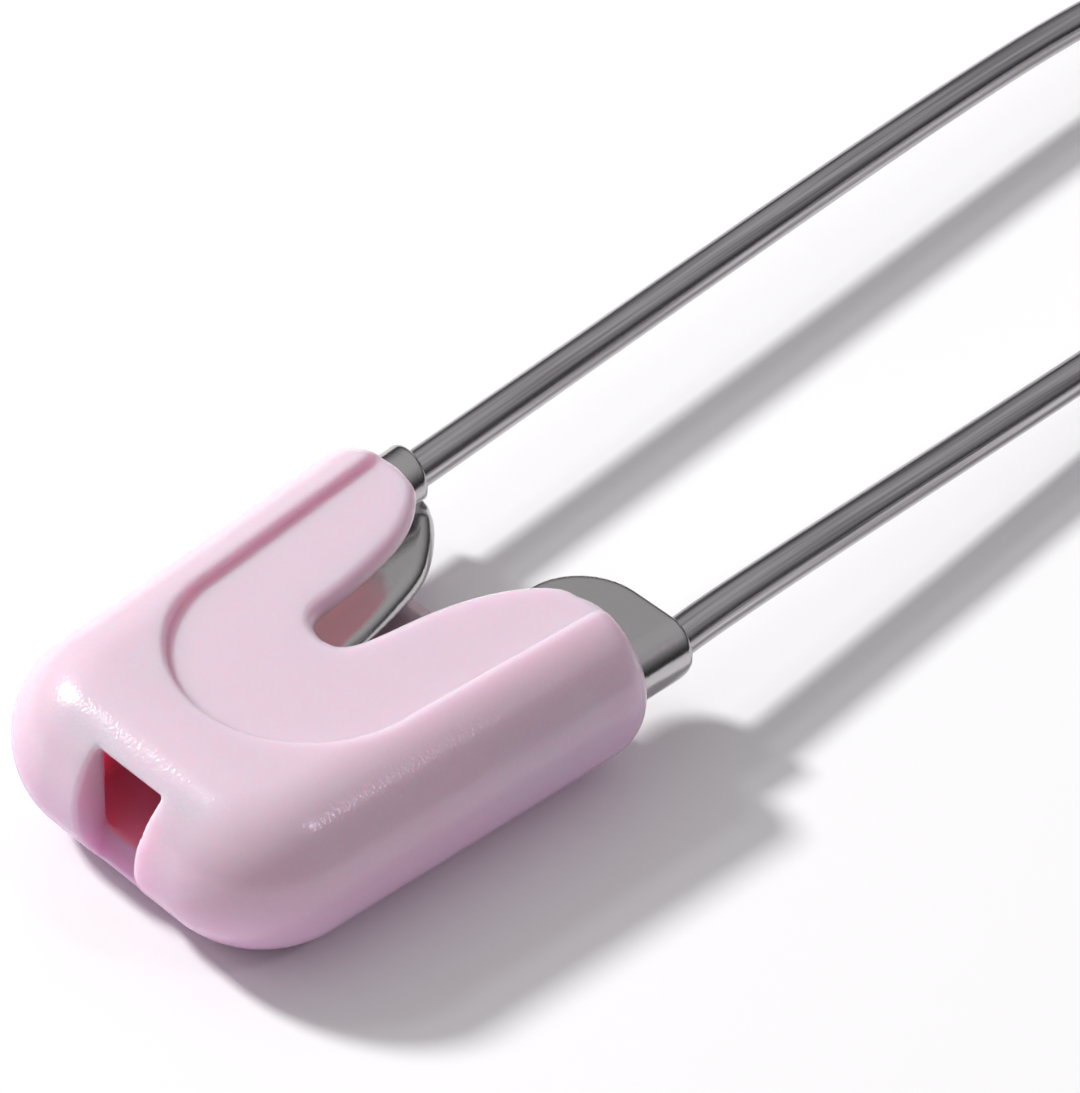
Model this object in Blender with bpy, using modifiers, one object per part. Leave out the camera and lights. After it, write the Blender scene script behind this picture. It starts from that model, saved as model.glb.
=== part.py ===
"""Locking safety pin: one spring wire, one folded metal catch and a sliding plastic cover.

Metres, +Z up. +Y runs from the cover's nose to the coil, +X to the sharpened arm, and z = 0 is the
surface that the closed pin lies on. The pin is closed and its cover is forward, which locks it.
"""

from math import asin, atan2, cos, degrees, pi, radians, sin, sqrt, tan

import bmesh
import bpy
from mathutils import Matrix, Vector

MM = 0.001

# The whole pin
TOTAL_LENGTH = 55.0 * MM
CUT_OVERRUN = 1.0 * MM
WELD_DISTANCE = 0.001 * MM

# The spring wire
WIRE_DIAMETER = 1.0 * MM
COIL_MEAN_RADIUS = 2.6 * MM
COIL_RISE = 1.5 * MM
WIRE_JOINT_GAP = 0.05 * MM
POINT_DEPTH = 4.9 * MM
POINT_LENGTH = 4.2 * MM
POINT_FLAT_DIAMETER = 0.08 * MM
SPINE_END_SETBACK = 0.3 * MM
SPINE_MERGE_DEG = 35.0
ARM_MERGE_DEG = 20.0
ARM_LEAN_DEG = 4.0
ARM_POINT_STEP = 1.6 * MM
COIL_STEP_DEG = 15.0
TAPER_STEPS = 7

# The handles of the arms' curves, at the mouth and at the coil, as shares of the arm's length
SPINE_HANDLE_SHARES = (0.80, 0.21)
ARM_HANDLE_SHARES = (0.104, 0.165)

# The folded catch
WIRE_SPACING = 8.64 * MM
SHEET_THICKNESS = 0.28 * MM
WIRE_CLEARANCE = 0.06 * MM
HOOK_LENGTH = 6.5 * MM
HOOK_TAPER_DEG = 3.0
LOBE_REACH = 3.0 * MM
LOBE_FRONT_RADIUS = 1.7 * MM
LOBE_REAR_RADIUS = 2.2 * MM
LIP_DROP = 0.45 * MM
WINDOW_LENGTH = 5.55 * MM
CRIMP_SETBACK = 0.35 * MM
CRIMP_ANGLE_DEG = 35.0
TONGUE_WIDTH = 6.6 * MM
TONGUE_SETBACK = 1.9 * MM
NIB_HEIGHT = 0.35 * MM
NIB_LENGTH = 0.5 * MM
FOLD_STEP_DEG = 15.0

# The lower sheet's free front edge: (share of the half spacing, share of the window's length)
LOWER_EDGE_SHARES = (
    (-0.92, -0.05),
    (-0.85, -0.06),
    (-0.76, -0.08),
    (-0.60, -0.21),
    (-0.46, -0.38),
    (-0.37, -0.61),
    (-0.31, -0.82),
    (-0.33, -0.94),
    (-0.26, -1.08),
    (0.00, -1.13),
    (0.35, -1.10),
    (0.62, -1.00),
)

# The moulded cover
COVER_LENGTH = 12.45 * MM
COVER_MOUTH_WIDTH = 11.3 * MM
COVER_NOSE_WIDTH = 9.7 * MM
COVER_HEIGHT = 4.46 * MM
NOSE_CORNER_RADIUS = 2.7 * MM
NOSE_WALL = 1.04 * MM
CATCH_SHOW = 1.85 * MM
WELL_WIDTH = 6.0 * MM
WELL_FLOOR = 0.8 * MM
CHAMBER_WIDTH = 4.6 * MM
CHAMBER_TOP = 3.65 * MM
SLIDE_CLEARANCE = 0.06 * MM
STOP_GAP = 0.12 * MM
TIP_ROUND_RADIUS = 1.2 * MM
TIP_ROUND_SKIM = 0.02 * MM
TIP_ROUND_LOW_SHARE = 0.9
RECESS_DEPTH = 0.45 * MM
RECESS_BEND_RADIUS = 3.27 * MM
RECESS_MOUTH_WIDTH = 7.54 * MM
RECESS_NOSE_MARGIN = 3.04 * MM
NOTCH_WIDTH = 5.6 * MM
NOTCH_DEPTH = 5.4 * MM
NOTCH_FILLET = 0.35 * MM
SLOT_WIDTH = 2.3 * MM
SLOT_FLOOR_WIDTH = 1.74 * MM
SLOT_INNER_WIDTH = 2.14 * MM
SLOT_TOP = 4.15 * MM
SLOT_FLOOR = 0.85 * MM
SLOT_LEVEL_DEPTH = 0.5 * MM
SLOT_REACH_IN = 0.3 * MM
SLOT_INNER_MARGIN = 0.05 * MM
ROUND_STEPS = 6

# The notch's side, from the arm's tip to the bottom: (share of half its width, share of its depth),
# as a start, two handles and an end for each of two curves
NOTCH_CURVE_SHARES = (
    ((1.00, 0.00), (0.72, 0.00), (0.42, 0.25), (0.29, 0.55)),
    ((0.29, 0.55), (0.20, 0.75), (0.20, 1.00), (0.00, 1.00)),
)

# What follows from the sizes above
wire_radius = WIRE_DIAMETER / 2
wire_z = COVER_HEIGHT / 2
nose_y = -TOTAL_LENGTH / 2
tips_y = nose_y + COVER_LENGTH
mouth_y = tips_y + CATCH_SHOW
coil_y = TOTAL_LENGTH / 2 - COIL_MEAN_RADIUS - wire_radius
half_spacing = WIRE_SPACING / 2
hook_slope = tan(radians(HOOK_TAPER_DEG))
fold_radius = wire_radius + WIRE_CLEARANCE + SHEET_THICKNESS / 2
hook_outer_radius = fold_radius + SHEET_THICKNESS / 2
hook_end_y = mouth_y - HOOK_LENGTH
cavity_radius = hook_outer_radius + SLIDE_CLEARANCE
cavity_end_y = nose_y + NOSE_WALL
tongue_end_y = cavity_end_y + TONGUE_SETBACK
cover_travel = POINT_DEPTH - CATCH_SHOW + STOP_GAP
pocket_front_y = tongue_end_y + NIB_LENGTH + cover_travel
pocket_end_y = tongue_end_y - STOP_GAP
panel_z = COVER_HEIGHT - RECESS_DEPTH


def new_collection(name):
    collection = bpy.data.collections.new(name)
    bpy.context.scene.collection.children.link(collection)
    return collection


def material(name, colour, roughness, metallic):
    made = bpy.data.materials.new(name)
    made.use_nodes = True
    shader = made.node_tree.nodes["Principled BSDF"]
    shader.inputs["Base Color"].default_value = (*colour, 1.0)
    shader.inputs["Roughness"].default_value = roughness
    shader.inputs["Metallic"].default_value = metallic
    return made


def mesh_object(name, bm, collection, origin=(0, 0, 0)):
    """An object of this bmesh, closed and facing out, with its origin at the given point."""
    bmesh.ops.remove_doubles(bm, verts=bm.verts, dist=WELD_DISTANCE)
    bmesh.ops.recalc_face_normals(bm, faces=bm.faces)
    mesh = bpy.data.meshes.new(name)
    bm.to_mesh(mesh)
    bm.free()
    mesh.transform(Matrix.Translation(-Vector(origin)))
    obj = bpy.data.objects.new(name, mesh)
    obj.location = origin
    collection.objects.link(obj)
    return obj


def loft(name, rings, collection, closed_ends=True):
    """A skin over rings of equally many points."""
    bm = bmesh.new()
    rows = [[bm.verts.new(point) for point in ring] for ring in rings]
    count = len(rows[0])
    for low, high in zip(rows, rows[1:]):
        for i in range(count if closed_ends else count - 1):
            j = (i + 1) % count
            bm.faces.new((low[i], low[j], high[j], high[i]))
    if closed_ends:
        bm.faces.new(rows[0])
        bm.faces.new(reversed(rows[-1]))
    return mesh_object(name, bm, collection)


def prism(name, outline, low, high, collection):
    """An outline in the XY plane, raised from one height to another."""
    return loft(name, [[(x, y, z) for x, y in outline] for z in (low, high)], collection)


def cut(target, cutter):
    cutter.hide_render = True
    cutter.display_type = "WIRE"
    modifier = target.modifiers.new(cutter.name, "BOOLEAN")
    modifier.operation = "DIFFERENCE"
    modifier.solver = "EXACT"
    modifier.object = cutter


def arc(centre_x, centre_y, radius, start_deg, end_deg, steps):
    turns = [radians(start_deg + (end_deg - start_deg) * i / steps) for i in range(steps + 1)]
    return [(centre_x + radius * cos(t), centre_y + radius * sin(t)) for t in turns]


def rounded_corner(before, corner, after, radius, steps):
    """The points of an arc that rounds one corner of an outline."""
    corner = Vector(corner)
    back = (Vector(before) - corner).normalized()
    ahead = (Vector(after) - corner).normalized()
    half_angle = back.angle(ahead) / 2
    centre = corner + (back + ahead).normalized() * radius / sin(half_angle)
    start = corner + back * radius / tan(half_angle) - centre
    end = corner + ahead * radius / tan(half_angle) - centre
    first = atan2(start.y, start.x)
    sweep = (atan2(end.y, end.x) - first + pi) % (2 * pi) - pi
    turns = [first + sweep * i / steps for i in range(steps + 1)]
    return [(centre.x + radius * cos(t), centre.y + radius * sin(t)) for t in turns]


def mirrored(side):
    """An outline from its right side, listed from one point on the Y axis to another."""
    return side + [(-x, y) for x, y in reversed(side)]


def fold_x(y):
    """Half the distance between the two fold axes, which close in towards the nose."""
    return half_spacing + hook_slope * (y - mouth_y)


def curve_solid(name, outline, thickness, edge_radius, origin, collection):
    """A flat outline with fully rounded edges, made a closed mesh."""
    data = bpy.data.curves.new(name, "CURVE")
    data.dimensions = "2D"
    data.fill_mode = "BOTH"
    data.extrude = thickness / 2 - edge_radius
    data.bevel_depth = edge_radius
    data.bevel_resolution = ROUND_STEPS
    spline = data.splines.new("POLY")
    spline.points.add(len(outline) - 1)
    for point, (x, y) in zip(spline.points, outline):
        point.co = (x, y, 0, 1)
    spline.use_cyclic_u = True
    rough = bpy.data.objects.new(name + "_outline", data)
    rough.location = (0, 0, wire_z)
    collection.objects.link(rough)
    bpy.context.view_layer.update()
    graph = bpy.context.evaluated_depsgraph_get()
    bm = bmesh.new()
    mesh = bpy.data.meshes.new_from_object(rough.evaluated_get(graph))
    bm.from_mesh(mesh)
    bm.transform(rough.matrix_world)
    bpy.data.objects.remove(rough)
    bpy.data.meshes.remove(mesh)
    return mesh_object(name, bm, collection, origin)


def tube(name, points, collection, origin=(0, 0, 0), radii=None):
    """A round wire along these points, with flat ends."""
    data = bpy.data.curves.new(name, "CURVE")
    data.dimensions = "3D"
    data.bevel_depth = wire_radius
    data.bevel_resolution = 2
    data.use_fill_caps = True
    data.twist_mode = "Z_UP"
    spline = data.splines.new("POLY")
    spline.points.add(len(points) - 1)
    for i, (point, place) in enumerate(zip(spline.points, points)):
        point.co = (*(Vector(place) - Vector(origin)), 1)
        point.radius = radii[i] if radii else 1
    spline.use_smooth = True
    obj = bpy.data.objects.new(name, data)
    obj.location = origin
    collection.objects.link(obj)
    return obj


def cover_outline(inset):
    """The cover's plan, drawn in by the radius of its rounded edges."""
    nose_half = COVER_NOSE_WIDTH / 2
    mouth_half = COVER_MOUTH_WIDTH / 2
    flare = (mouth_half - nose_half) / COVER_LENGTH
    front_y = tips_y + inset + CUT_OVERRUN
    front = (mouth_half + flare * (front_y - tips_y) - inset, front_y)
    nose = (nose_half - inset, nose_y + inset)
    corner = rounded_corner(
        front, nose, (0, nose_y + inset), NOSE_CORNER_RADIUS - inset, ROUND_STEPS
    )
    return mirrored([front, *corner])


def notch_outline(grow):
    """The notch's plan, open past the tips, grown by its fillet."""
    half = NOTCH_WIDTH / 2
    side = []
    for curve in NOTCH_CURVE_SHARES:
        knots = [Vector((half * x, tips_y - NOTCH_DEPTH * y, 0)) for x, y in curve]
        for i in range(ROUND_STEPS):
            side.append(bezier(knots, i / ROUND_STEPS))
    side.append(Vector((0, tips_y - NOTCH_DEPTH, 0)))
    grown = []
    for i, point in enumerate(side):
        ahead = side[min(i + 1, len(side) - 1)] - side[max(i - 1, 0)]
        outward = Vector((-ahead.y, ahead.x, 0)).normalized()
        if i == len(side) - 1:
            outward = Vector((0, -1, 0))
        grown.append(point + outward * grow)
    half_open = grown[0].x + CUT_OVERRUN
    start = [(half_open, tips_y + CUT_OVERRUN), (grown[0].x, grown[0].y)]
    right = start + [(p.x, p.y) for p in grown[1:-1]]
    return right + [(0, grown[-1].y)] + [(-x, y) for x, y in reversed(right)]


def bezier(knots, t):
    a, b, c, d = knots
    u = 1 - t
    return a * u**3 + b * 3 * u * u * t + c * 3 * u * t * t + d * t**3


def stadium(y, half_width, radius, steps):
    """A section with fully round sides, level with the wire."""
    right = arc(half_width - radius, wire_z, radius, -90, 90, steps)
    left = arc(radius - half_width, wire_z, radius, 90, 270, steps)
    return [(x, y, z) for x, z in right + left]


def arch(y, half_width, radius, low_z, steps):
    """The part of that section above a level, from right to left."""
    start_deg = degrees(asin((low_z - wire_z) / radius))
    right = arc(half_width - radius, wire_z, radius, start_deg, 90, steps)
    return [(x, y, z) for x, z in mirrored(right)]


def safety_cover(parts, cutters):
    edge = COVER_HEIGHT / 2
    body = curve_solid(
        "safety_cover", cover_outline(edge), COVER_HEIGHT, edge, (0, tips_y, wire_z), parts
    )
    wide = COVER_MOUTH_WIDTH / 2 + CUT_OVERRUN
    front = tips_y + COVER_HEIGHT + 2 * CUT_OVERRUN

    across = [(wide, front), (wide, tips_y), (-wide, tips_y), (-wide, front)]
    cut(body, prism("tips_cutter", across, -CUT_OVERRUN, COVER_HEIGHT + CUT_OVERRUN, cutters))

    half = WELL_WIDTH / 2
    well = [(half, front), (half, hook_end_y), (-half, hook_end_y), (-half, front)]
    cut(body, prism("well_cutter", well, WELL_FLOOR, wire_z, cutters))

    rings = [
        stadium(y, fold_x(y) + cavity_radius, cavity_radius, 2 * ROUND_STEPS)
        for y in (front, hook_end_y - STOP_GAP)
    ]
    cut(body, loft("hook_cavity_cutter", rings, cutters))

    guide_half = TONGUE_WIDTH / 2 + SLIDE_CLEARANCE
    pocket_half = guide_half + NIB_HEIGHT
    channel = mirrored(
        [
            (guide_half, hook_end_y + CUT_OVERRUN),
            (guide_half, pocket_front_y),
            (pocket_half, pocket_front_y),
            (pocket_half, pocket_end_y),
        ]
    )
    low, high = wire_z - cavity_radius, wire_z + cavity_radius
    cut(body, prism("tongue_channel_cutter", channel, low, high, cutters))

    half, ahead = CHAMBER_WIDTH / 2, pocket_end_y + SLOT_REACH_IN
    chamber = [(half, ahead), (half, cavity_end_y), (-half, cavity_end_y), (-half, ahead)]
    cut(body, prism("nose_chamber_cutter", chamber, low, CHAMBER_TOP, cutters))

    bend_y = nose_y + RECESS_NOSE_MARGIN + RECESS_BEND_RADIUS
    bend = arc(0, bend_y, RECESS_BEND_RADIUS, 0, -90, 2 * ROUND_STEPS)[:-1]
    flare = (RECESS_MOUTH_WIDTH / 2 - RECESS_BEND_RADIUS) / (tips_y - bend_y)
    panel = [(RECESS_MOUTH_WIDTH / 2 + flare * CUT_OVERRUN, tips_y + CUT_OVERRUN), *bend]
    panel = panel + [(0, bend_y - RECESS_BEND_RADIUS)] + [(-x, y) for x, y in reversed(panel)]
    cut(body, prism("panel_cutter", panel, panel_z, COVER_HEIGHT + CUT_OVERRUN, cutters))

    rings = [[(x, y, wire_z) for x, y in notch_outline(0)]]
    for i in range(ROUND_STEPS + 1):
        rise = NOTCH_FILLET * i / ROUND_STEPS
        grow = NOTCH_FILLET - sqrt(NOTCH_FILLET**2 - rise**2)
        level = panel_z - NOTCH_FILLET + rise
        rings.append([(x, y, level) for x, y in notch_outline(grow)])
    rings.append([(x, y, COVER_HEIGHT + CUT_OVERRUN) for x, y, _ in rings[-1]])
    cut(body, loft("notch_cutter", rings, cutters))

    top = COVER_HEIGHT + CUT_OVERRUN
    round_low = wire_z - (edge - TIP_ROUND_RADIUS) * TIP_ROUND_LOW_SHARE
    frame = [(-wide, round_low), (-wide, top), (wide, top), (wide, round_low)]
    flare = (COVER_MOUTH_WIDTH - COVER_NOSE_WIDTH) / 2 / COVER_LENGTH
    rings = []
    for i in range(ROUND_STEPS + 1):
        turn = pi / 2 * i / ROUND_STEPS
        y = tips_y - TIP_ROUND_RADIUS * (1 - sin(turn))
        shrink = TIP_ROUND_RADIUS * (1 - cos(turn)) if i else -TIP_ROUND_SKIM
        half = COVER_MOUTH_WIDTH / 2 - flare * (tips_y - y) - shrink
        inside = arch(y, half, edge - shrink, round_low, 2 * ROUND_STEPS)
        rings.append([(x, y, z) for x, z in frame] + inside)
    rings.append([(x, y + CUT_OVERRUN, z) for x, y, z in rings[-1]])
    cut(body, loft("tip_round_cutter", rings, cutters))

    outer = (SLOT_WIDTH / 2, SLOT_FLOOR_WIDTH / 2, SLOT_FLOOR, SLOT_TOP)
    inner_half = SLOT_INNER_WIDTH / 2
    inner = (inner_half, inner_half, low + SLOT_INNER_MARGIN, CHAMBER_TOP - SLOT_INNER_MARGIN)
    rings = []
    for y, (top_half, floor_half, floor, roof) in (
        (nose_y - CUT_OVERRUN, outer),
        (nose_y + SLOT_LEVEL_DEPTH, outer),
        (cavity_end_y, inner),
        (cavity_end_y + SLOT_REACH_IN, inner),
    ):
        right = [(floor_half, floor), (top_half, roof)]
        rings.append([(x, y, z) for x, z in mirrored(right)])
    cut(body, loft("nose_slot_cutter", rings, cutters))
    return body


def catch_section(y):
    """The sheet's middle line across the catch: crimp, spine roll, floor, hook and lobe."""
    axis = fold_x(y)
    steps = round(180 / FOLD_STEP_DEG)
    roll_steps = round((270 - CRIMP_ANGLE_DEG) / FOLD_STEP_DEG)
    roll = arc(-axis, wire_z, fold_radius, CRIMP_ANGLE_DEG, 270, roll_steps)
    hook = arc(axis, wire_z, fold_radius, -90, 90, steps)
    lobe = [(axis - LOBE_REACH, wire_z + fold_radius)]
    return [(x, y, z) for x, z in roll + hook + lobe]


def catch(parts, cutters):
    rings = [catch_section(y) for y in (mouth_y, hook_end_y, tongue_end_y)]
    sheet = loft("catch", rings, parts, closed_ends=False)
    solid = sheet.modifiers.new("sheet thickness", "SOLIDIFY")
    solid.thickness = SHEET_THICKNESS
    solid.offset = 0
    solid.use_even_offset = True
    solid.use_rim = True

    wide = half_spacing + hook_outer_radius + CUT_OVERRUN
    floor_low = wire_z - hook_outer_radius - CUT_OVERRUN
    inside_top = wire_z - WIRE_CLEARANCE - wire_radius / 2
    above = wire_z + hook_outer_radius + CUT_OVERRUN
    ahead = mouth_y + CUT_OVERRUN

    edge = [(half_spacing * x, mouth_y + WINDOW_LENGTH * y) for x, y in LOWER_EDGE_SHARES]
    window_y = mouth_y - WINDOW_LENGTH
    front = [(edge[0][0], ahead), *edge, (wide, window_y), (wide, ahead)]
    cut(sheet, prism("window_cutter", front, floor_low, wire_z - LIP_DROP, cutters))

    left, right = -wide, edge[0][0]
    crimp_y = mouth_y - CRIMP_SETBACK
    crimp_front = [(left, crimp_y), (left, ahead), (right, ahead), (right, crimp_y)]
    cut(sheet, prism("crimp_front_cutter", crimp_front, floor_low, above, cutters))

    behind = tongue_end_y - CUT_OVERRUN
    block = [(-wide, hook_end_y), (-wide, behind), (wide, behind), (wide, hook_end_y)]
    cut(sheet, prism("fold_end_cutter", block, inside_top, above, cutters))

    half = TONGUE_WIDTH / 2
    for side, name in ((1, "tongue_right_cutter"), (-1, "tongue_left_cutter")):
        outline = [
            (side * wide, hook_end_y),
            (side * half, hook_end_y),
            (side * half, tongue_end_y + NIB_LENGTH),
            (side * (half + NIB_HEIGHT), tongue_end_y + NIB_LENGTH),
            (side * half, behind),
            (side * wide, behind),
        ]
        cut(sheet, prism(name, outline, floor_low, inside_top + CUT_OVERRUN / 2, cutters))

    inner_front = fold_x(mouth_y) - LOBE_REACH
    inner_rear = fold_x(hook_end_y) - LOBE_REACH
    for name, corner_y, inner, radius, way in (
        ("lobe_front_cutter", mouth_y, inner_front, LOBE_FRONT_RADIUS, 1),
        ("lobe_rear_cutter", hook_end_y, inner_rear, LOBE_REAR_RADIUS, -1),
    ):
        bend = arc(inner + radius, corner_y - way * radius, radius, 90 * way, 180 * way, ROUND_STEPS)
        outline = [
            *bend,
            (inner - CUT_OVERRUN, corner_y - way * radius),
            (inner - CUT_OVERRUN, corner_y + way * CUT_OVERRUN),
            (inner + radius, corner_y + way * CUT_OVERRUN),
        ]
        cut(sheet, prism(name, outline, wire_z, above, cutters))
    return sheet


def free_arm(side, coil_z, merge_deg, start_slope, handle_shares):
    """The bowed stretch of wire from the catch's mouth to where it meets the coil."""
    merge = radians(merge_deg)
    start = Vector((half_spacing, mouth_y, wire_z))
    end = Vector((COIL_MEAN_RADIUS * cos(merge), coil_y + COIL_MEAN_RADIUS * sin(merge), coil_z))
    length = end.y - start.y
    leave = start + Vector((start_slope, 1, 0)) * length * handle_shares[0]
    arrive = end + Vector((sin(merge), -cos(merge), 0)) * length * handle_shares[1]
    steps = round(length / ARM_POINT_STEP)
    points = [bezier((start, leave, arrive, end), i / steps) for i in range(steps + 1)]
    points = [Vector((side * p.x, p.y, p.z)) for p in points]
    back = (points[-2] - points[-1]).normalized()
    points[-1] += back * WIRE_JOINT_GAP
    return points


def held_arm(side, depth):
    """The stretch inside the catch, along its fold, from the wire's end to the mouth."""
    steps = max(2, round(depth / ARM_POINT_STEP))
    ys = [mouth_y - depth + depth * i / steps for i in range(steps)]
    return [Vector((side * fold_x(y), y, wire_z)) for y in ys]


def coil_points():
    """From the spine's side, up on top, round the far end and down to the pin arm's side."""
    start = 180 - SPINE_MERGE_DEG
    end = ARM_MERGE_DEG - 360
    steps = round((start - end) / COIL_STEP_DEG)
    points = []
    for i in range(steps + 1):
        angle = start + (end - start) * i / steps
        fall = min(max(-angle / 180, 0), 1)
        z = wire_radius + COIL_RISE * (1 + cos(pi * fall)) / 2
        x = COIL_MEAN_RADIUS * cos(radians(angle))
        y = coil_y + COIL_MEAN_RADIUS * sin(radians(angle))
        points.append(Vector((x, y, z)))
    return points


def least_gap(points):
    """The least gap between the surfaces of stretches of one wire that aren't neighbours."""
    along = [0.0]
    for a, b in zip(points, points[1:]):
        along.append(along[-1] + (b - a).length)
    apart = 2 * pi * COIL_MEAN_RADIUS / 3
    return min(
        (points[i] - points[j]).length - WIRE_DIAMETER
        for i in range(len(points))
        for j in range(i)
        if along[i] - along[j] > apart
    )


def spring_wire(parts):
    top = wire_radius + COIL_RISE
    spine = held_arm(-1, HOOK_LENGTH - SPINE_END_SETBACK)
    spine += free_arm(-1, top, SPINE_MERGE_DEG, hook_slope, SPINE_HANDLE_SHARES)
    coil = coil_points()
    arm = held_arm(1, POINT_DEPTH)
    arm += free_arm(1, wire_radius, ARM_MERGE_DEG, -tan(radians(ARM_LEAN_DEG)), ARM_HANDLE_SHARES)

    tip = arm[0]
    taper = []
    for i in range(TAPER_STEPS):
        y = tip.y + POINT_LENGTH * i / TAPER_STEPS
        taper.append(Vector((fold_x(y), y, wire_z)))
    rest = [p for p in arm if p.y > tip.y + POINT_LENGTH]
    shoulder_y = tip.y + POINT_LENGTH
    taper.append(Vector((fold_x(shoulder_y), shoulder_y, wire_z)))
    blunt = POINT_FLAT_DIAMETER / WIRE_DIAMETER
    radii = [blunt + (1 - blunt) * sin(pi / 2 * i / TAPER_STEPS) for i in range(TAPER_STEPS + 1)]
    arm = taper + rest
    radii += [1.0] * len(rest)

    whole = spine + coil + list(reversed(arm))
    print(f"least gap of the coiled wire to itself: {least_gap(whole) / MM:.3f} mm")
    made = [
        tube("spine_wire", spine, parts),
        tube("spring_coil", coil, parts),
        tube("pin_arm", arm, parts, (0, coil_y, 0), radii),
    ]
    return made


def main():
    for obj in list(bpy.data.objects):
        bpy.data.objects.remove(obj)
    parts = new_collection("safety_pin")
    cutters = new_collection("cutters")
    plastic = material("pink_plastic", (0.79, 0.62, 0.73), 0.25, 0.0)
    nickel = material("bright_nickel", (0.45, 0.44, 0.44), 0.22, 1.0)
    steel = material("spring_steel", (0.36, 0.34, 0.36), 0.3, 1.0)

    cover = safety_cover(parts, cutters)
    cover.data.materials.append(plastic)
    folded = catch(parts, cutters)
    folded.data.materials.append(nickel)
    for wire in spring_wire(parts):
        wire.data.materials.append(steel)
    for obj in (cover, folded):
        obj.data.shade_smooth()
        obj.data.set_sharp_from_angle(angle=radians(40))
    print(f"cover travel: {cover_travel / MM:.3f} mm, coil centre y: {coil_y / MM:.3f} mm")


main()
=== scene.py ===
"""The looks of the safety pin: its fine surfaces, materials, light, floor and camera.

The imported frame's axes: +Y from the cover's nose to the coil, +X to the sharpened arm, +Z up.
Shapes are worked out in millimetres and made into meshes in metres.
"""

from math import cos, hypot, pi, radians, sin, tan

import bpy
import numpy as np
from mathutils import Matrix, Vector


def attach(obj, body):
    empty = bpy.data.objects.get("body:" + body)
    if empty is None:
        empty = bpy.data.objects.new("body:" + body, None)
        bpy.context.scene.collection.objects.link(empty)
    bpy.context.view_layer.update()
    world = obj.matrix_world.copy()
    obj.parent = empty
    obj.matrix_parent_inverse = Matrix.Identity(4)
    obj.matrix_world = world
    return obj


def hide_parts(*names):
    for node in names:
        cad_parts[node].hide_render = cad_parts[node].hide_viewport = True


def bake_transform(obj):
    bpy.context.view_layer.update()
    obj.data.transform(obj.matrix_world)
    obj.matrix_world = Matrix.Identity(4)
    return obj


MM = 0.001

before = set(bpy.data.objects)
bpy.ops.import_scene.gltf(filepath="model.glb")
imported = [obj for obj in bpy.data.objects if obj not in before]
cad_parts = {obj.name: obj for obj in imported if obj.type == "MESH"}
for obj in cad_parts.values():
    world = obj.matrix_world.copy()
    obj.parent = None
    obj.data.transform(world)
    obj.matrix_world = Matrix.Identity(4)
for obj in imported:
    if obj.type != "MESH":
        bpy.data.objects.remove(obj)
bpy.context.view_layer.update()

# The whole pin, mostly as the CAD source has it
TOTAL_LENGTH = 55.0
WIRE_RADIUS = 0.5
COIL_MEAN_RADIUS = 2.6
COIL_RISE = 1.1
POINT_DEPTH = 4.9
POINT_LENGTH = 4.2
POINT_FLAT_SHARE = 0.08
SPINE_END_SETBACK = 0.3
SPINE_MERGE_DEG = 35.0
ARM_MERGE_DEG = 20.0
ARM_LEAN_DEG = 4.0
SPINE_HANDLE_SHARES = (0.80, 0.21)
ARM_HANDLE_SHARES = (0.104, 0.165)
WIRE_STEP = 0.3
WIRE_SIDES = 28
HELD_POINTS = 30
ARM_POINTS = 200
COIL_POINTS = 120
SAME_POINT = 0.0001

# The catch
WIRE_SPACING = 8.64
SHEET_THICKNESS = 0.28
SHEET_EDGE_ROUND = 0.09
WIRE_CLEARANCE = 0.06
HOOK_LENGTH = 6.5
HOOK_TAPER_DEG = 3.0
LOBE_REACH = 3.0
LOBE_FRONT_RADIUS = 1.7
LOBE_REAR_RADIUS = 2.2
LIP_DROP = 0.45
WINDOW_LENGTH = 5.55
CRIMP_SETBACK = 0.25
CRIMP_SLANT = 0.25
CRIMP_ANGLE_DEG = -10.0
SHEET_STEP = 0.07
RIM_BEND_RADIUS = 0.25
RIM_BEND_DEG = 80.0
RIM_LENGTH = 0.47
RIM_RISE_SHARES = (0.02, 0.12)
RIM_FALL_SHARES = (0.36, 0.48)
RIM_FRONT_YS = (-20.2, -19.4)
HOOK_CORNER_RADIUS = 0.6
CORNER_STEPS = 10
LOWER_EDGE_STEPS = 5
SHEET_SETBACK = 0.1
HOOK_SETBACK = 0.14
LOWER_EDGE_SHARES = (
    (-0.92, -0.05),
    (-0.85, -0.06),
    (-0.76, -0.08),
    (-0.60, -0.21),
    (-0.46, -0.38),
    (-0.37, -0.61),
    (-0.31, -0.82),
    (-0.29, -0.94),
    (-0.22, -1.07),
    (0.00, -1.13),
    (0.35, -1.10),
    (0.62, -1.00),
)

# The cover
COVER_LENGTH = 12.45
COVER_MOUTH_WIDTH = 11.3
COVER_NOSE_WIDTH = 9.7
COVER_HEIGHT = 4.46
NOSE_CORNER_RADIUS = 2.7
NOSE_WALL = 1.04
CATCH_SHOW = 1.85
WELL_WIDTH = 6.0
WELL_SIDE_ROUND = 0.3
WELL_FLOOR = 0.8
WELL_FRONT_FLOOR = 0.35
WELL_FRONT_LENGTH = 1.2
CHAMBER_WIDTH = 4.6
CHAMBER_TOP = 3.8
CHAMBER_LENGTH = 1.9
CHAMBER_OVERLAP_SHARE = 1 / 6
CHAMBER_ROUND = 0.2
HOLLOW_EDGE_ROUND = 0.08
SLIDE_CLEARANCE = 0.06
STOP_GAP = 0.12
TIP_TOP_ROUND = 0.75
TIP_BOTTOM_ROUND = 1.15
RECESS_DEPTH = 0.3
RECESS_BEND_RADIUS = 3.27
RECESS_MOUTH_WIDTH = 7.54
RECESS_NOSE_MARGIN = 3.04
RECESS_FOOT_ROUND = 0.1
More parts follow.
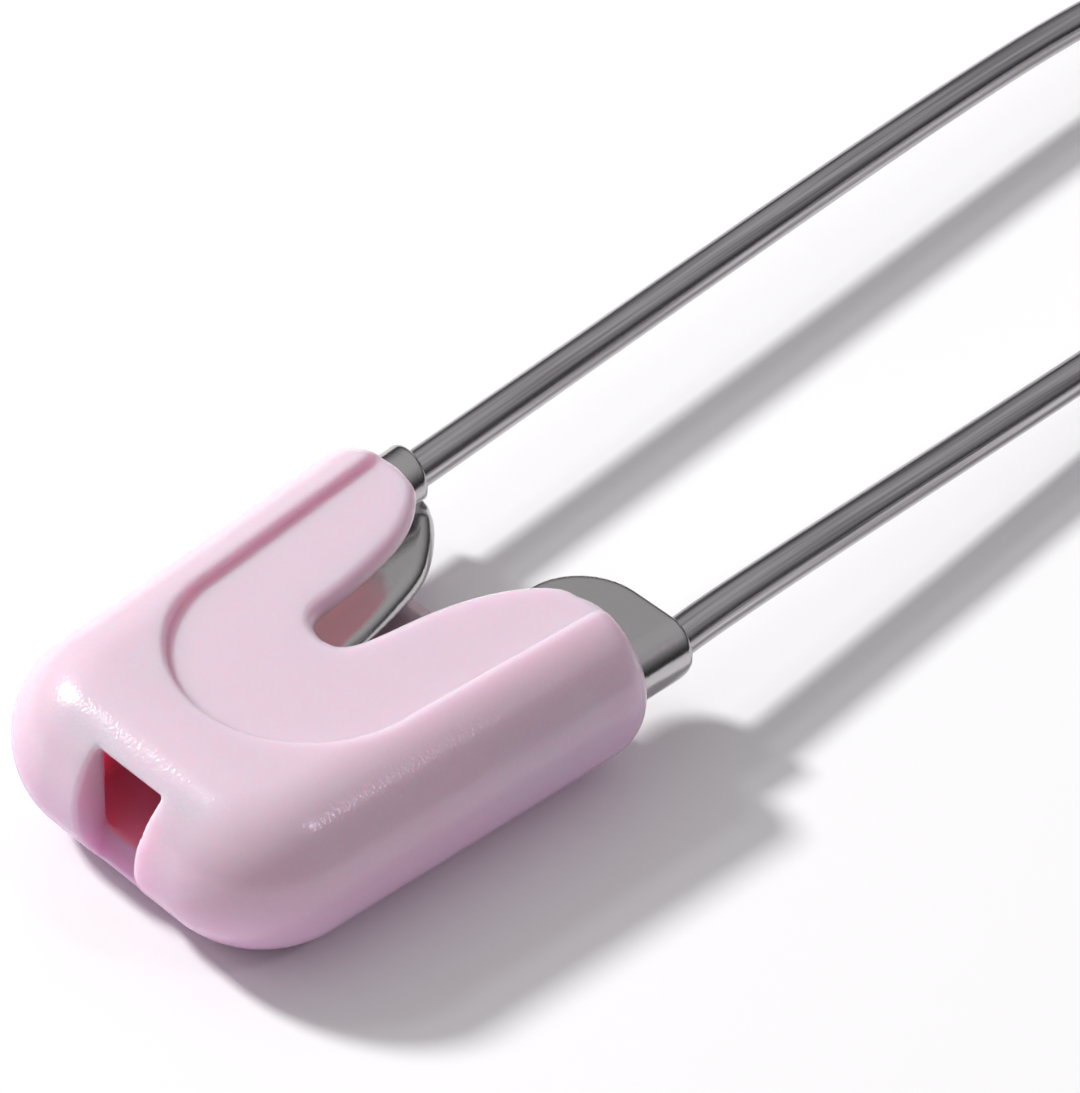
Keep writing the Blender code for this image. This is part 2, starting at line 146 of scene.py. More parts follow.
RECESS_CREST_ROUND = 0.2
RECESS_WALL_DRAFT = 0.05
NOTCH_WIDTH = 5.6
NOTCH_DEPTH = 5.4
NOTCH_FILLET = 0.35
NOTCH_SHIFT = (0.11, -0.12)
NOTCH_ROOF_REACH = 0.5
NOTCH_ROOF_RISE = 0.5
SLOT_WIDTH = 2.3
SLOT_FLOOR_WIDTH = 1.74
SLOT_INNER_WIDTH = 2.14
SLOT_TOP = 4.15
SLOT_FLOOR = 0.85
SLOT_LEVEL_DEPTH = 0.5
SLOT_INNER_MARGIN = 0.05
SLOT_EDGE_ROUND = 0.06
SLOT_CORNER_ROUND = 0.1
SLOT_FLOOR_ROUND = 0.3
SLOT_END_REACH = 0.3
TONGUE_WIDTH = 6.6
COVER_STEP = 0.1
COVER_MARGIN = 0.2
COVER_HEIGHT_MARGIN = 0.15
COVER_TIPS_MARGIN = 0.6
NOTCH_STEPS = 10
# Where the notch runs out past the tips: a share of its half width, and a length past them
NOTCH_FLARES = ((1.5, 3.0), (1.2, 0.4), (1.0, 0.0))
NOTCH_CURVE_SHARES = (
    ((1.00, 0.00), (0.72, 0.00), (0.42, 0.25), (0.29, 0.55)),
    ((0.29, 0.55), (0.20, 0.75), (0.20, 1.00), (0.00, 1.00)),
)
FAR_NOTCH_CURVE_SHARES = (
    ((1.00, 0.00), (0.85, 0.02), (0.58, 0.20), (0.50, 0.39)),
    ((0.50, 0.39), (0.43, 0.55), (0.37, 0.72), (0.364, 0.86)),
    ((0.364, 0.86), (0.355, 0.96), (0.22, 1.01), (0.00, 1.01)),
)

# The plastic's colours, linear
PINK = (0.765, 0.61, 0.70)
# Painted light: the deep red that light takes on as it bounces inside the plastic behind the slot
DEEP_RED_PAINTED_LIGHT = (1.0, 0.33, 0.47)
# Painted shade: the plastic turns mauve low down, as it looks where it is in shade
PAINTED_SHADE_MAUVE = (0.77, 0.49, 0.71)
PAINTED_SHADE_HEIGHTS = (0.8, 4.1)
# Painted shade: dark mauve low in the space under the catch
PAINTED_SHADE_DARK_MAUVE = (0.45, 0.33, 0.38)
# Painted light: a warmer pink on the roof inside, for light that comes through the thin wall
ROOF_PINK_PAINTED_LIGHT = (0.90, 0.62, 0.58)
HOLLOW_FADE = (0.03, 0.14)
DARK_FADE = (-22.5, -20.5)
PLASTIC_ROUGHNESS = 0.18
PLASTIC_GRAIN = 11000.0
PLASTIC_GRAIN_DETAIL = 2.0
EVEN_STRETCH = (1.0, 1.0, 1.0)
PLASTIC_BUMP = 0.007
PLASTIC_SCATTER = (1.0, 0.45, 0.55)
PLASTIC_SCATTER_REACH = 1.3
INNER_SCATTER_REACH = 9.0

# The metals
NICKEL = (0.50, 0.48, 0.49)
NICKEL_ROUGHNESS = 0.17
NICKEL_GRAIN = 6000.0
NICKEL_UNEVEN_DETAIL = 3.0
NICKEL_SCRATCH_DETAIL = 2.0
NICKEL_SCRATCH_STRETCH = (0.15, 1.0, 0.5)
NICKEL_BUMP = 0.003
STEEL = (0.51, 0.49, 0.51)
# The dark of the streaks along the wire: partly drawing marks, partly painted reflection
STEEL_STREAKS_AND_PAINTED_REFLECTION = (0.31, 0.29, 0.31)
STEEL_ROUGHNESS = 0.24
STEEL_STREAKS_ROUND = 26.0
STEEL_STREAKS_ALONG = 0.12
STEEL_STREAK_DETAIL = 3.0
STEEL_STREAK_SHARES = (0.35, 0.6)
STEEL_BUMP = 0.008

# How the surfaces are found in their distance fields
PULLS = 3
SLOPE_STEP_SHARE = 0.1
LEAST_SLOPE_SQUARE = 0.25

# What follows from those sizes
wire_z = COVER_HEIGHT / 2
nose_y = -TOTAL_LENGTH / 2
tips_y = nose_y + COVER_LENGTH
mouth_y = tips_y + CATCH_SHOW
sheet_mouth_y = mouth_y - SHEET_SETBACK
coil_y = TOTAL_LENGTH / 2 - COIL_MEAN_RADIUS - WIRE_RADIUS
half_spacing = WIRE_SPACING / 2
hook_slope = tan(radians(HOOK_TAPER_DEG))
fold_radius = WIRE_RADIUS + WIRE_CLEARANCE + SHEET_THICKNESS / 2
hook_outer_radius = fold_radius + SHEET_THICKNESS / 2
cavity_radius = hook_outer_radius + SLIDE_CLEARANCE
hook_end_y = mouth_y - HOOK_LENGTH
cavity_end_y = nose_y + NOSE_WALL
pocket_end_y = cavity_end_y + CHAMBER_LENGTH
chamber_end_y = pocket_end_y + CHAMBER_LENGTH * CHAMBER_OVERLAP_SHARE
panel_z = COVER_HEIGHT - RECESS_DEPTH


def material(name, colour, roughness, metallic):
    made = bpy.data.materials.new(name)
    made.use_nodes = True
    shader = made.node_tree.nodes["Principled BSDF"]
    shader.inputs["Base Color"].default_value = (*colour, 1.0)
    shader.inputs["Roughness"].default_value = roughness
    shader.inputs["Metallic"].default_value = metallic
    return made


def link(made, output, socket_name):
    shader = made.node_tree.nodes["Principled BSDF"]
    made.node_tree.links.new(output, shader.inputs[socket_name])


def pink_plastic():
    """Glossy moulding that light goes into, and deeper where it is thin over the hollow."""
    made = material("pink_plastic", PINK, PLASTIC_ROUGHNESS, 0.0)
    shader = made.node_tree.nodes["Principled BSDF"]
    shader.inputs["Subsurface Weight"].default_value = 1.0
    shader.inputs["Subsurface Radius"].default_value = PLASTIC_SCATTER
    shader.inputs["Subsurface Scale"].default_value = PLASTIC_SCATTER_REACH * MM
    # The base colour carries the cover's colours, with painted shade and light among them
    colour = made.node_tree.nodes.new("ShaderNodeVertexColor")
    colour.layer_name = "colour_and_painted_light"
    link(made, colour.outputs["Color"], "Base Color")
    reach = made.node_tree.nodes.new("ShaderNodeMapRange")
    reach.inputs["To Min"].default_value = PLASTIC_SCATTER_REACH * MM
    reach.inputs["To Max"].default_value = INNER_SCATTER_REACH * MM
    made.node_tree.links.new(colour.outputs["Alpha"], reach.inputs["Value"])
    link(made, reach.outputs["Result"], "Subsurface Scale")
    place = made.node_tree.nodes.new("ShaderNodeTexCoord").outputs["Object"]
    grain = noise(made, place, PLASTIC_GRAIN, EVEN_STRETCH, PLASTIC_GRAIN_DETAIL)
    bump(made, grain, PLASTIC_BUMP)
    return made


def bright_nickel():
    """Nickel on pressed sheet, with fine scratches and a faint unevenness."""
    made = material("bright_nickel", NICKEL, NICKEL_ROUGHNESS, 1.0)
    place = made.node_tree.nodes.new("ShaderNodeTexCoord").outputs["Object"]
    uneven = noise(made, place, NICKEL_GRAIN, EVEN_STRETCH, NICKEL_UNEVEN_DETAIL)
    stretch = NICKEL_SCRATCH_STRETCH
    scratch = noise(made, place, NICKEL_GRAIN, stretch, NICKEL_SCRATCH_DETAIL)
    total = made.node_tree.nodes.new("ShaderNodeMath")
    made.node_tree.links.new(uneven, total.inputs[0])
    made.node_tree.links.new(scratch, total.inputs[1])
    bump(made, total.outputs[0], NICKEL_BUMP)
    return made


def drawn_steel():
    """Drawn wire, with streaks that run along it: relief, and darker colour that is partly drawing
    marks and partly painted reflection.
    """
    made = material("spring_steel", STEEL, STEEL_ROUGHNESS, 1.0)
    place = made.node_tree.nodes.new("ShaderNodeUVMap")
    place.uv_map = "round_and_along"
    stretch = (STEEL_STREAKS_ROUND, STEEL_STREAKS_ALONG, 1)
    streaks = noise(made, place.outputs[0], 1.0, stretch, STEEL_STREAK_DETAIL)
    # Dark streaks mixed into the base colour: partly drawing marks, partly painted reflection
    shade = made.node_tree.nodes.new("ShaderNodeMix")
    shade.data_type = "RGBA"
    shade.inputs["A"].default_value = (*STEEL_STREAKS_AND_PAINTED_REFLECTION, 1.0)
    shade.inputs["B"].default_value = (*STEEL, 1.0)
    spread = spread_out(made, streaks, STEEL_STREAK_SHARES)
    made.node_tree.links.new(spread, shade.inputs["Factor"])
    colours = [output for output in shade.outputs if output.type == "RGBA"]
    link(made, colours[0], "Base Color")
    bump(made, streaks, STEEL_BUMP)
    return made


def spread_out(made, value, shares):
    """A value drawn out so that the first share becomes zero and the second one."""
    wide = made.node_tree.nodes.new("ShaderNodeMapRange")
    wide.inputs["From Min"].default_value = shares[0]
    wide.inputs["From Max"].default_value = shares[1]
    made.node_tree.links.new(value, wide.inputs["Value"])
    return wide.outputs["Result"]


def noise(made, place, scale, stretch, detail):
    """Noise over a place, drawn out by a scale for each axis."""
    stretched = made.node_tree.nodes.new("ShaderNodeMapping")
    stretched.inputs["Scale"].default_value = stretch
    made.node_tree.links.new(place, stretched.inputs["Vector"])
    grain = made.node_tree.nodes.new("ShaderNodeTexNoise")
    grain.inputs["Scale"].default_value = scale
    grain.inputs["Detail"].default_value = detail
    made.node_tree.links.new(stretched.outputs[0], grain.inputs["Vector"])
    return grain.outputs["Fac"]


def bump(made, height, depth):
    """Small relief, with its depth in millimetres."""
    raised = made.node_tree.nodes.new("ShaderNodeBump")
    raised.inputs["Strength"].default_value = 1.0
    raised.inputs["Distance"].default_value = depth * MM
    made.node_tree.links.new(height, raised.inputs["Height"])
    link(made, raised.outputs["Normal"], "Normal")


def mesh_object(name, points, faces, made):
    """A smooth object from points in millimetres."""
    mesh = bpy.data.meshes.new(name)
    mesh.from_pydata((points * MM).tolist(), [], faces.tolist())
    mesh.shade_smooth()
    mesh.materials.append(made)
    obj = bpy.data.objects.new(name, mesh)
    bpy.context.scene.collection.objects.link(obj)
    return obj


def both(a, b, radius):
    """The distance field of what is inside both fields, with the edge between them rounded."""
    over = np.hypot(np.maximum(a + radius, 0), np.maximum(b + radius, 0))
    return np.minimum(-radius, np.maximum(a, b)) + over


def without(a, b, radius):
    """The field of what is inside a and outside b."""
    return both(a, -b, radius)


def ramp(value, start, end):
    """A soft step from zero at the start to one at the end."""
    share = np.clip((value - start) / (end - start), 0, 1)
    return share * share * (3 - 2 * share)


def skin(field, low, high, step):
    """The surface where a distance field is zero: one point in each cell that it crosses, then faces
    round each crossed edge of the grid."""
    axes = [np.arange(a, b + step, step) for a, b in zip(low, high)]
    grid = np.meshgrid(*axes, indexing="ij", sparse=True)
    values = field(*grid) + np.zeros([len(a) for a in axes])
    inside = values < 0
    cells = tuple(n - 1 for n in values.shape)
    total = np.zeros(cells + (3,))
    hits = np.zeros(cells)
    for axis in range(3):
        others = [a for a in range(3) if a != axis]
        for shift in ((0, 0), (0, 1), (1, 0), (1, 1)):
            start = [0, 0, 0]
            start[others[0]], start[others[1]] = shift
            end = list(start)
            end[axis] = 1
            near = tuple(slice(s, s + n) for s, n in zip(start, cells))
            far = tuple(slice(s, s + n) for s, n in zip(end, cells))
            crossed = inside[near] != inside[far]
            reach = values[near] - values[far]
            share = np.where(crossed, values[near] / np.where(reach == 0, 1, reach), 0)
            for a in range(3):
                place = start[a] + (share if a == axis else 0)
                total[..., a] += np.where(crossed, place, 0)
            hits += crossed
    used = hits > 0
    number = np.full(cells, -1)
    number[used] = np.arange(used.sum())
    corner = np.argwhere(used)
    points = np.array(low) + (corner + total[used] / hits[used][:, None]) * step
    faces = []
    for axis in range(3):
        b, c = [(axis + 1) % 3, (axis + 2) % 3]
        near = [slice(1, n) for n in cells]
        far = [slice(1, n) for n in cells]
        near[axis] = slice(0, cells[axis])
        far[axis] = slice(1, cells[axis] + 1)
        crossed = inside[tuple(near)] != inside[tuple(far)]
        place = np.argwhere(crossed)
        place[:, b] += 1
        place[:, c] += 1
        quads = []
        for db, dc in ((1, 1), (0, 1), (0, 0), (1, 0)):
            cell = place.copy()
            cell[:, b] -= db
            cell[:, c] -= dc
            quads.append(number[tuple(cell.T)])
        quads = np.stack(quads, axis=1)
        flip = ~inside[tuple(place.T)]
        quads[flip] = quads[flip][:, ::-1]
        faces.append(quads)
    for _ in range(PULLS):
        points -= pull(field, points, step)
    return points, np.concatenate(faces)


def pull(field, points, step):
    """How far each point stands off the surface, along the field's slope."""
    small = step * SLOPE_STEP_SHARE
    here = field(*points.T)
    slope = np.zeros_like(points)
    for a in range(3):
        move = np.zeros(3)
        move[a] = small
        slope[:, a] = (field(*(points + move).T) - field(*(points - move).T)) / (2 * small)
    square = np.maximum((slope**2).sum(axis=1), LEAST_SLOPE_SQUARE)
    off = slope * (here / square)[:, None]
    return np.clip(off, -step / 2, step / 2)


def polyline_distance(x, y, outline):
    """The signed distance in a plane to a closed outline, below zero inside."""
    best = np.full(np.broadcast(x, y).shape, np.inf)
    odd = np.zeros(best.shape, bool)
    for (ax, ay), (bx, by) in zip(outline, outline[1:] + outline[:1]):
        dx, dy = bx - ax, by - ay
        t = np.clip(((x - ax) * dx + (y - ay) * dy) / (dx * dx + dy * dy), 0, 1)
        best = np.minimum(best, np.hypot(x - ax - t * dx, y - ay - t * dy))
        if dy:
            crosses = (ay > y) != (by > y)
            odd ^= crosses & (x < ax + (y - ay) * dx / dy)
    return np.where(odd, -best, best)


def bezier(knots, t):
    """Points on a cubic curve through its first and last knot."""
    a, b, c, d = (np.array(k, float) for k in knots)
    u = 1 - t
    return a * u**3 + b * 3 * u * u * t + c * 3 * u * t * t + d * t**3


def smooth_curve(points, steps):
    """Points along a soft curve through a few points."""
    made = []
    padded = [points[0], *points, points[-1]]
    for before, a, b, after in zip(padded, padded[1:], padded[2:], padded[3:]):
        before, a, b, after = (np.array(p, float) for p in (before, a, b, after))
        knots = (a, a + (b - before) / 6, b - (after - a) / 6, b)
        made += [tuple(bezier(knots, i / steps)) for i in range(steps)]
    return made + [tuple(points[-1])]


def fold_x(y):
    """Half the distance between the two fold axes, which draw together towards the nose."""
    return half_spacing + hook_slope * (y - mouth_y)


def notch_outline():
    """The notch's outline from above, in (x, y), with a wider far side."""
    near = notch_side(NOTCH_CURVE_SHARES)
    far = notch_side(FAR_NOTCH_CURVE_SHARES)
    line = near + [(-x, y) for x, y in reversed(far[:-1])]
    return [(x + NOTCH_SHIFT[0], y + NOTCH_SHIFT[1]) for x, y in line]


def notch_side(curves):
    """One side of the notch, from beyond the tips to its inner end."""
    half = NOTCH_WIDTH / 2
    side = [(half * x, tips_y + y) for x, y in NOTCH_FLARES]
    for curve in curves:
        knots = [(half * x, tips_y - NOTCH_DEPTH * y) for x, y in curve]
        side += [tuple(bezier(knots, i / NOTCH_STEPS)) for i in range(1, NOTCH_STEPS + 1)]
    return side


notch_line = notch_outline()


def body_field(x, y, z):
    """The moulding's outside with its sunk panel, without its openings."""
    wide = np.abs(x)
    edge = COVER_HEIGHT / 2
    flare = (COVER_MOUTH_WIDTH - COVER_NOSE_WIDTH) / 2 / COVER_LENGTH
    side = (wide - COVER_NOSE_WIDTH / 2 - flare * (y - nose_y)) / hypot(1, flare)
    plan = both(side, nose_y - y, NOSE_CORNER_RADIUS)
    body = np.hypot(np.maximum(plan + edge, 0), z - wire_z) - edge
    tip_round = TIP_BOTTOM_ROUND + (TIP_TOP_ROUND - TIP_BOTTOM_ROUND) * z / COVER_HEIGHT
    body = both(body, y - tips_y, tip_round)
    bend_y = nose_y + RECESS_NOSE_MARGIN + RECESS_BEND_RADIUS
    flare = (RECESS_MOUTH_WIDTH / 2 - RECESS_BEND_RADIUS) / (tips_y - bend_y)
    straight = wide - RECESS_BEND_RADIUS - flare * (y - bend_y)
    bend = np.hypot(wide, np.minimum(y - bend_y, 0)) - RECESS_BEND_RADIUS
    recess = np.where(y > bend_y, straight, bend) + (COVER_HEIGHT - z) * RECESS_WALL_DRAFT
    return without(body, both(recess, panel_z - z, RECESS_FOOT_ROUND), RECESS_CREST_ROUND)


def hollow_field(x, y, z):
    """The space inside the cover: for the catch's hooks and tongue, the lobe, and behind the slot."""
    wide = np.abs(x)
    lift = z - wire_z
    hooks = np.hypot(np.maximum(wide - fold_x(y), 0), lift) - cavity_radius
    hooks = np.maximum(hooks, hook_end_y - STOP_GAP - y)
    channel = np.maximum(wide - TONGUE_WIDTH / 2 - SLIDE_CLEARANCE, np.abs(lift) - cavity_radius)
    channel_middle = (hook_end_y + pocket_end_y) / 2
    channel_half = (hook_end_y - pocket_end_y) / 2
    channel = np.maximum(channel, np.abs(y - channel_middle) - channel_half)
    front = ramp(y, tips_y - WELL_FRONT_LENGTH, tips_y)
    floor = WELL_FLOOR + (WELL_FRONT_FLOOR - WELL_FLOOR) * front
    well = both(wide - WELL_WIDTH / 2, np.maximum(floor - z, z - wire_z), WELL_SIDE_ROUND)
    well = np.maximum(well, hook_end_y - y)
    chamber = both(wide - CHAMBER_WIDTH / 2, cavity_end_y - y, CHAMBER_ROUND)
    chamber = np.maximum(chamber, np.maximum(z - CHAMBER_TOP, wire_z - cavity_radius - z))
    chamber = np.maximum(chamber, y - chamber_end_y)
    notch = polyline_distance(x, y, notch_line)
    roof = np.maximum(notch - NOTCH_ROOF_REACH, z - wire_z - cavity_radius - NOTCH_ROOF_RISE)
    roof = np.maximum(roof, wire_z - z)
    return np.minimum(np.minimum(np.minimum(hooks, channel), np.minimum(well, chamber)), roof)


def slot_field(x, y, z):
    """The opening in the nose, which narrows downwards."""
    deep = np.clip((y - nose_y - SLOT_LEVEL_DEPTH) / (NOSE_WALL - SLOT_LEVEL_DEPTH), 0, 1)
    floor = SLOT_FLOOR + (wire_z - cavity_radius + SLOT_INNER_MARGIN - SLOT_FLOOR) * deep
    roof = SLOT_TOP + (CHAMBER_TOP - SLOT_INNER_MARGIN - SLOT_TOP) * deep
    floor_half = (SLOT_FLOOR_WIDTH + (SLOT_INNER_WIDTH - SLOT_FLOOR_WIDTH) * deep) / 2
    top_half = (SLOT_WIDTH + (SLOT_INNER_WIDTH - SLOT_WIDTH) * deep) / 2
    rise = np.clip((z - floor) / (roof - floor), 0, 1)
    slot = np.abs(x) - floor_half - (top_half - floor_half) * rise
    slot = both(slot, z - roof, SLOT_CORNER_ROUND)
    slot = both(slot, floor - z, SLOT_FLOOR_ROUND)
    return np.maximum(slot, y - cavity_end_y - SLOT_END_REACH)


def cover_field(x, y, z):
    """The whole moulding: its outside without the notch, the hollow and the slot."""
    notch = polyline_distance(x, y, notch_line)
    body = without(body_field(x, y, z), np.maximum(notch, wire_z - z), NOTCH_FILLET)
    body = without(body, hollow_field(x, y, z), HOLLOW_EDGE_ROUND)
    return without(body, slot_field(x, y, z), SLOT_EDGE_ROUND)


def cover_colour(points):
    """Pink outside, with painted shade that turns it more mauve low down; a deep red painted behind the
    slot as light that bounces in the plastic; in the space under the catch, painted shade low down and
    a warmer pink painted on the roof as light that comes through the wall. The last value is one on the
    roof and walls inside, where light comes deeper through."""
    x, y, z = points.T
    inside = 1 - ramp(hollow_field(x, y, z), *HOLLOW_FADE)
    front = ramp(y, *DARK_FADE)
    roof = ramp(z, wire_z, wire_z + WIRE_RADIUS)
    # Painted shade: mauve low down, fading to pink towards the top
    upper = ramp(z, *PAINTED_SHADE_HEIGHTS)
    outside = np.outer(upper, PINK) + np.outer(1 - upper, PAINTED_SHADE_MAUVE)
    # Painted light on the roof inside, and painted shade below it under the catch
    mouth = np.outer(roof, ROOF_PINK_PAINTED_LIGHT) + np.outer(1 - roof, PAINTED_SHADE_DARK_MAUVE)
    # Painted light: deep red behind the slot
    deep = np.outer(1 - front, DEEP_RED_PAINTED_LIGHT) + mouth * front[:, None]
    colour = outside * (1 - inside)[:, None] + deep * inside[:, None]
    lit = ramp(z, wire_z - cavity_radius, wire_z)
    return np.column_stack([colour, inside * lit])


def paint(obj, colours):
    """Colours for each point, painted shade and light among them, which the material reads as its base
    colour.
    """
    layer = obj.data.color_attributes.new("colour_and_painted_light", "FLOAT_COLOR", "POINT")
    layer.data.foreach_set("color", colours.reshape(-1).astype(np.float32))


def make_cover(made):
    side = COVER_MOUTH_WIDTH / 2 + COVER_MARGIN
    low = (-side, nose_y - COVER_MARGIN, -COVER_HEIGHT_MARGIN)
    high = (side, tips_y + COVER_TIPS_MARGIN, COVER_HEIGHT + COVER_HEIGHT_MARGIN)
    points, faces = skin(cover_field, low, high, COVER_STEP)
    cover = mesh_object("cover_moulding", points, faces, made)
    paint(cover, cover_colour(points))
    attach(cover, "cover")
    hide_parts("safety_cover")


# The catch's sheet laid flat: s runs across it from the crimp's edge to the lobe's edge
roll_length = fold_radius * radians(270 - CRIMP_ANGLE_DEG)
floor_end = roll_length + WIRE_SPACING
hook_end = floor_end + fold_radius * pi
sheet_end = hook_end + LOBE_REACH


def sheet_outline():
    """The sheet's flat outline, in (s, y)."""
    window_y = sheet_mouth_y - WINDOW_LENGTH
    low_angle = np.arcsin(-LIP_DROP / fold_radius) + pi / 2
    hook_front = floor_end + fold_radius * low_angle
    edge = [
        (roll_length + half_spacing * (1 + x), sheet_mouth_y + WINDOW_LENGTH * y)
        for x, y in LOWER_EDGE_SHARES
    ]
    crimp_y = sheet_mouth_y - CRIMP_SETBACK
    outline = [(0.0, hook_end_y), (0.0, crimp_y - CRIMP_SLANT)]
    outline += [(roll_length / 2, crimp_y), (roll_length, crimp_y)]
    outline += smooth_curve(edge, LOWER_EDGE_STEPS)
    outline += [(hook_front, window_y)]
    near, far = HOOK_CORNER_RADIUS, LOBE_FRONT_RADIUS
    outline += corner(hook_front + near, sheet_mouth_y - HOOK_SETBACK - near, near, 180, 90)
    outline += [(hook_end, sheet_mouth_y)]
    outline += corner(sheet_end - far, sheet_mouth_y - far, far, 90, 0)
    rear = LOBE_REAR_RADIUS
    outline += corner(sheet_end - rear, hook_end_y + rear, rear, 0, -90)
    return outline


def corner(centre_s, centre_y, radius, start_deg, end_deg):
    """Points round a corner's arc."""
    steps = range(CORNER_STEPS + 1)
    turns = [radians(start_deg + (end_deg - start_deg) * i / CORNER_STEPS) for i in steps]
    return [(centre_s + radius * cos(t), centre_y + radius * sin(t)) for t in turns]


sheet_line = sheet_outline()
rim_turn = radians(RIM_BEND_DEG)
rim_straight = RIM_LENGTH - RIM_BEND_RADIUS * rim_turn
rim_reach = RIM_BEND_RADIUS * sin(rim_turn) + rim_straight * cos(rim_turn) + SHEET_THICKNESS / 2
rim_gain = RIM_LENGTH - rim_reach


def edge_distance(s, y):
    return polyline_distance(s, y, sheet_line)


def rim_share(s, y):
    """How fully the sheet's edge is turned down: one along the lower sheet's free front edge."""
    along = (s - roll_length) / WIRE_SPACING
    share = ramp(along, *RIM_RISE_SHARES) * (1 - ramp(along, *RIM_FALL_SHARES))
    return share * ramp(y, *RIM_FRONT_YS)


def sheet_field(s, y, t):
    """The flat sheet, with the length that its rim takes up added at the edge."""
    flat = edge_distance(s, y) - rim_gain * rim_share(s, y)
    return both(flat, np.abs(t) - SHEET_THICKNESS / 2, SHEET_EDGE_ROUND)


def turned_down(s, y, t):
    """How the lower sheet's edge moves as its rim is bent: across, along and up."""
    small = SHEET_STEP / 4
    share = rim_share(s, y)
    flat = edge_distance(s, y) - rim_gain * share
    slope_s = edge_distance(s + small, y) - edge_distance(s - small, y)
    slope_y = edge_distance(s, y + small) - edge_distance(s, y - small)
    length = np.maximum(np.hypot(slope_s, slope_y), small / 4)
    bent = np.maximum(flat + RIM_LENGTH, 0) * share
    turn = np.minimum(bent / RIM_BEND_RADIUS, rim_turn)
    rest = bent - turn * RIM_BEND_RADIUS
    out = RIM_BEND_RADIUS * np.sin(turn) + rest * np.cos(turn) - bent - t * np.sin(turn)
    fall = RIM_BEND_RADIUS * (1 - np.cos(turn)) + rest * np.sin(turn)
    rise = -fall + t * (1 - np.cos(turn))
    return out * slope_s / length, out * slope_y / length, rise


def folded(points):
    """The flat sheet's points bent round the two folds."""
    s, y, t = points.T
    axis = fold_x(y)
    roll = radians(CRIMP_ANGLE_DEG) + np.minimum(s, roll_length) / fold_radius
    hook = np.clip(s - floor_end, 0, fold_radius * pi) / fold_radius - pi / 2
    along = np.clip((s - roll_length) / WIRE_SPACING, 0, 1)
    on_roll = s < roll_length
    on_floor = (s >= roll_length) & (s < floor_end)
    on_hook = (s >= floor_end) & (s < hook_end)
    out_hook = fold_radius + t
    x = np.where(on_roll, -axis + (fold_radius + t) * np.cos(roll), 0)
    z = np.where(on_roll, wire_z + (fold_radius + t) * np.sin(roll), 0)
    across, ahead, rise = turned_down(s, y, t)
    x = np.where(on_floor, -axis + 2 * axis * along + across, x)
    y = np.where(on_floor, y + ahead, y)
    z = np.where(on_floor, wire_z - fold_radius - t + rise, z)
    x = np.where(on_hook, axis + out_hook * np.cos(hook), x)
    z = np.where(on_hook, wire_z + out_hook * np.sin(hook), z)
    on_lobe = s >= hook_end
    x = np.where(on_lobe, axis - (s - hook_end), x)
    z = np.where(on_lobe, wire_z + fold_radius + t, z)
    return np.stack([x, y, z], axis=1)


def make_catch(made):
    margin = 3 * SHEET_STEP
    low = (-margin, hook_end_y - margin, -SHEET_THICKNESS / 2 - margin)
    high = (sheet_end + margin, mouth_y + margin, SHEET_THICKNESS / 2 + margin)
    points, faces = skin(sheet_field, low, high, SHEET_STEP)
    sheet = mesh_object("catch_sheet", folded(points), faces, made)
    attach(sheet, "spine")
    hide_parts("catch")


def free_arm(side, coil_z, merge_deg, start_slope, handle_shares):
    """The bowed stretch of wire from the catch's mouth to where it meets the coil."""
    merge = radians(merge_deg)
    start = np.array((half_spacing, mouth_y, wire_z))
    end = np.array((COIL_MEAN_RADIUS * cos(merge), coil_y + COIL_MEAN_RADIUS * sin(merge), coil_z))
    length = end[1] - start[1]
    leave = start + np.array((start_slope, 1, 0)) * length * handle_shares[0]
    arrive = end + np.array((sin(merge), -cos(merge), 0)) * length * handle_shares[1]
    shares = np.linspace(0, 1, ARM_POINTS)[:, None]
    return bezier((start, leave, arrive, end), shares) * (side, 1, 1)


def held_arm(side, depth):
    """The stretch of wire inside the catch's fold."""
    ys = np.linspace(mouth_y - depth, mouth_y, HELD_POINTS, endpoint=False)
    return np.stack([side * fold_x(ys), ys, ys * 0 + wire_z], axis=1)


def coil(start_deg, end_deg):
    """A stretch of the coil, which falls over its middle half turn."""
    angle = np.linspace(start_deg, end_deg, COIL_POINTS)
    fall = np.clip(-angle / 180, 0, 1)
    z = WIRE_RADIUS + COIL_RISE * (1 + np.cos(pi * fall)) / 2
    x = COIL_MEAN_RADIUS * np.cos(np.radians(angle))
    y = coil_y + COIL_MEAN_RADIUS * np.sin(np.radians(angle))
    return np.stack([x, y, z], axis=1)


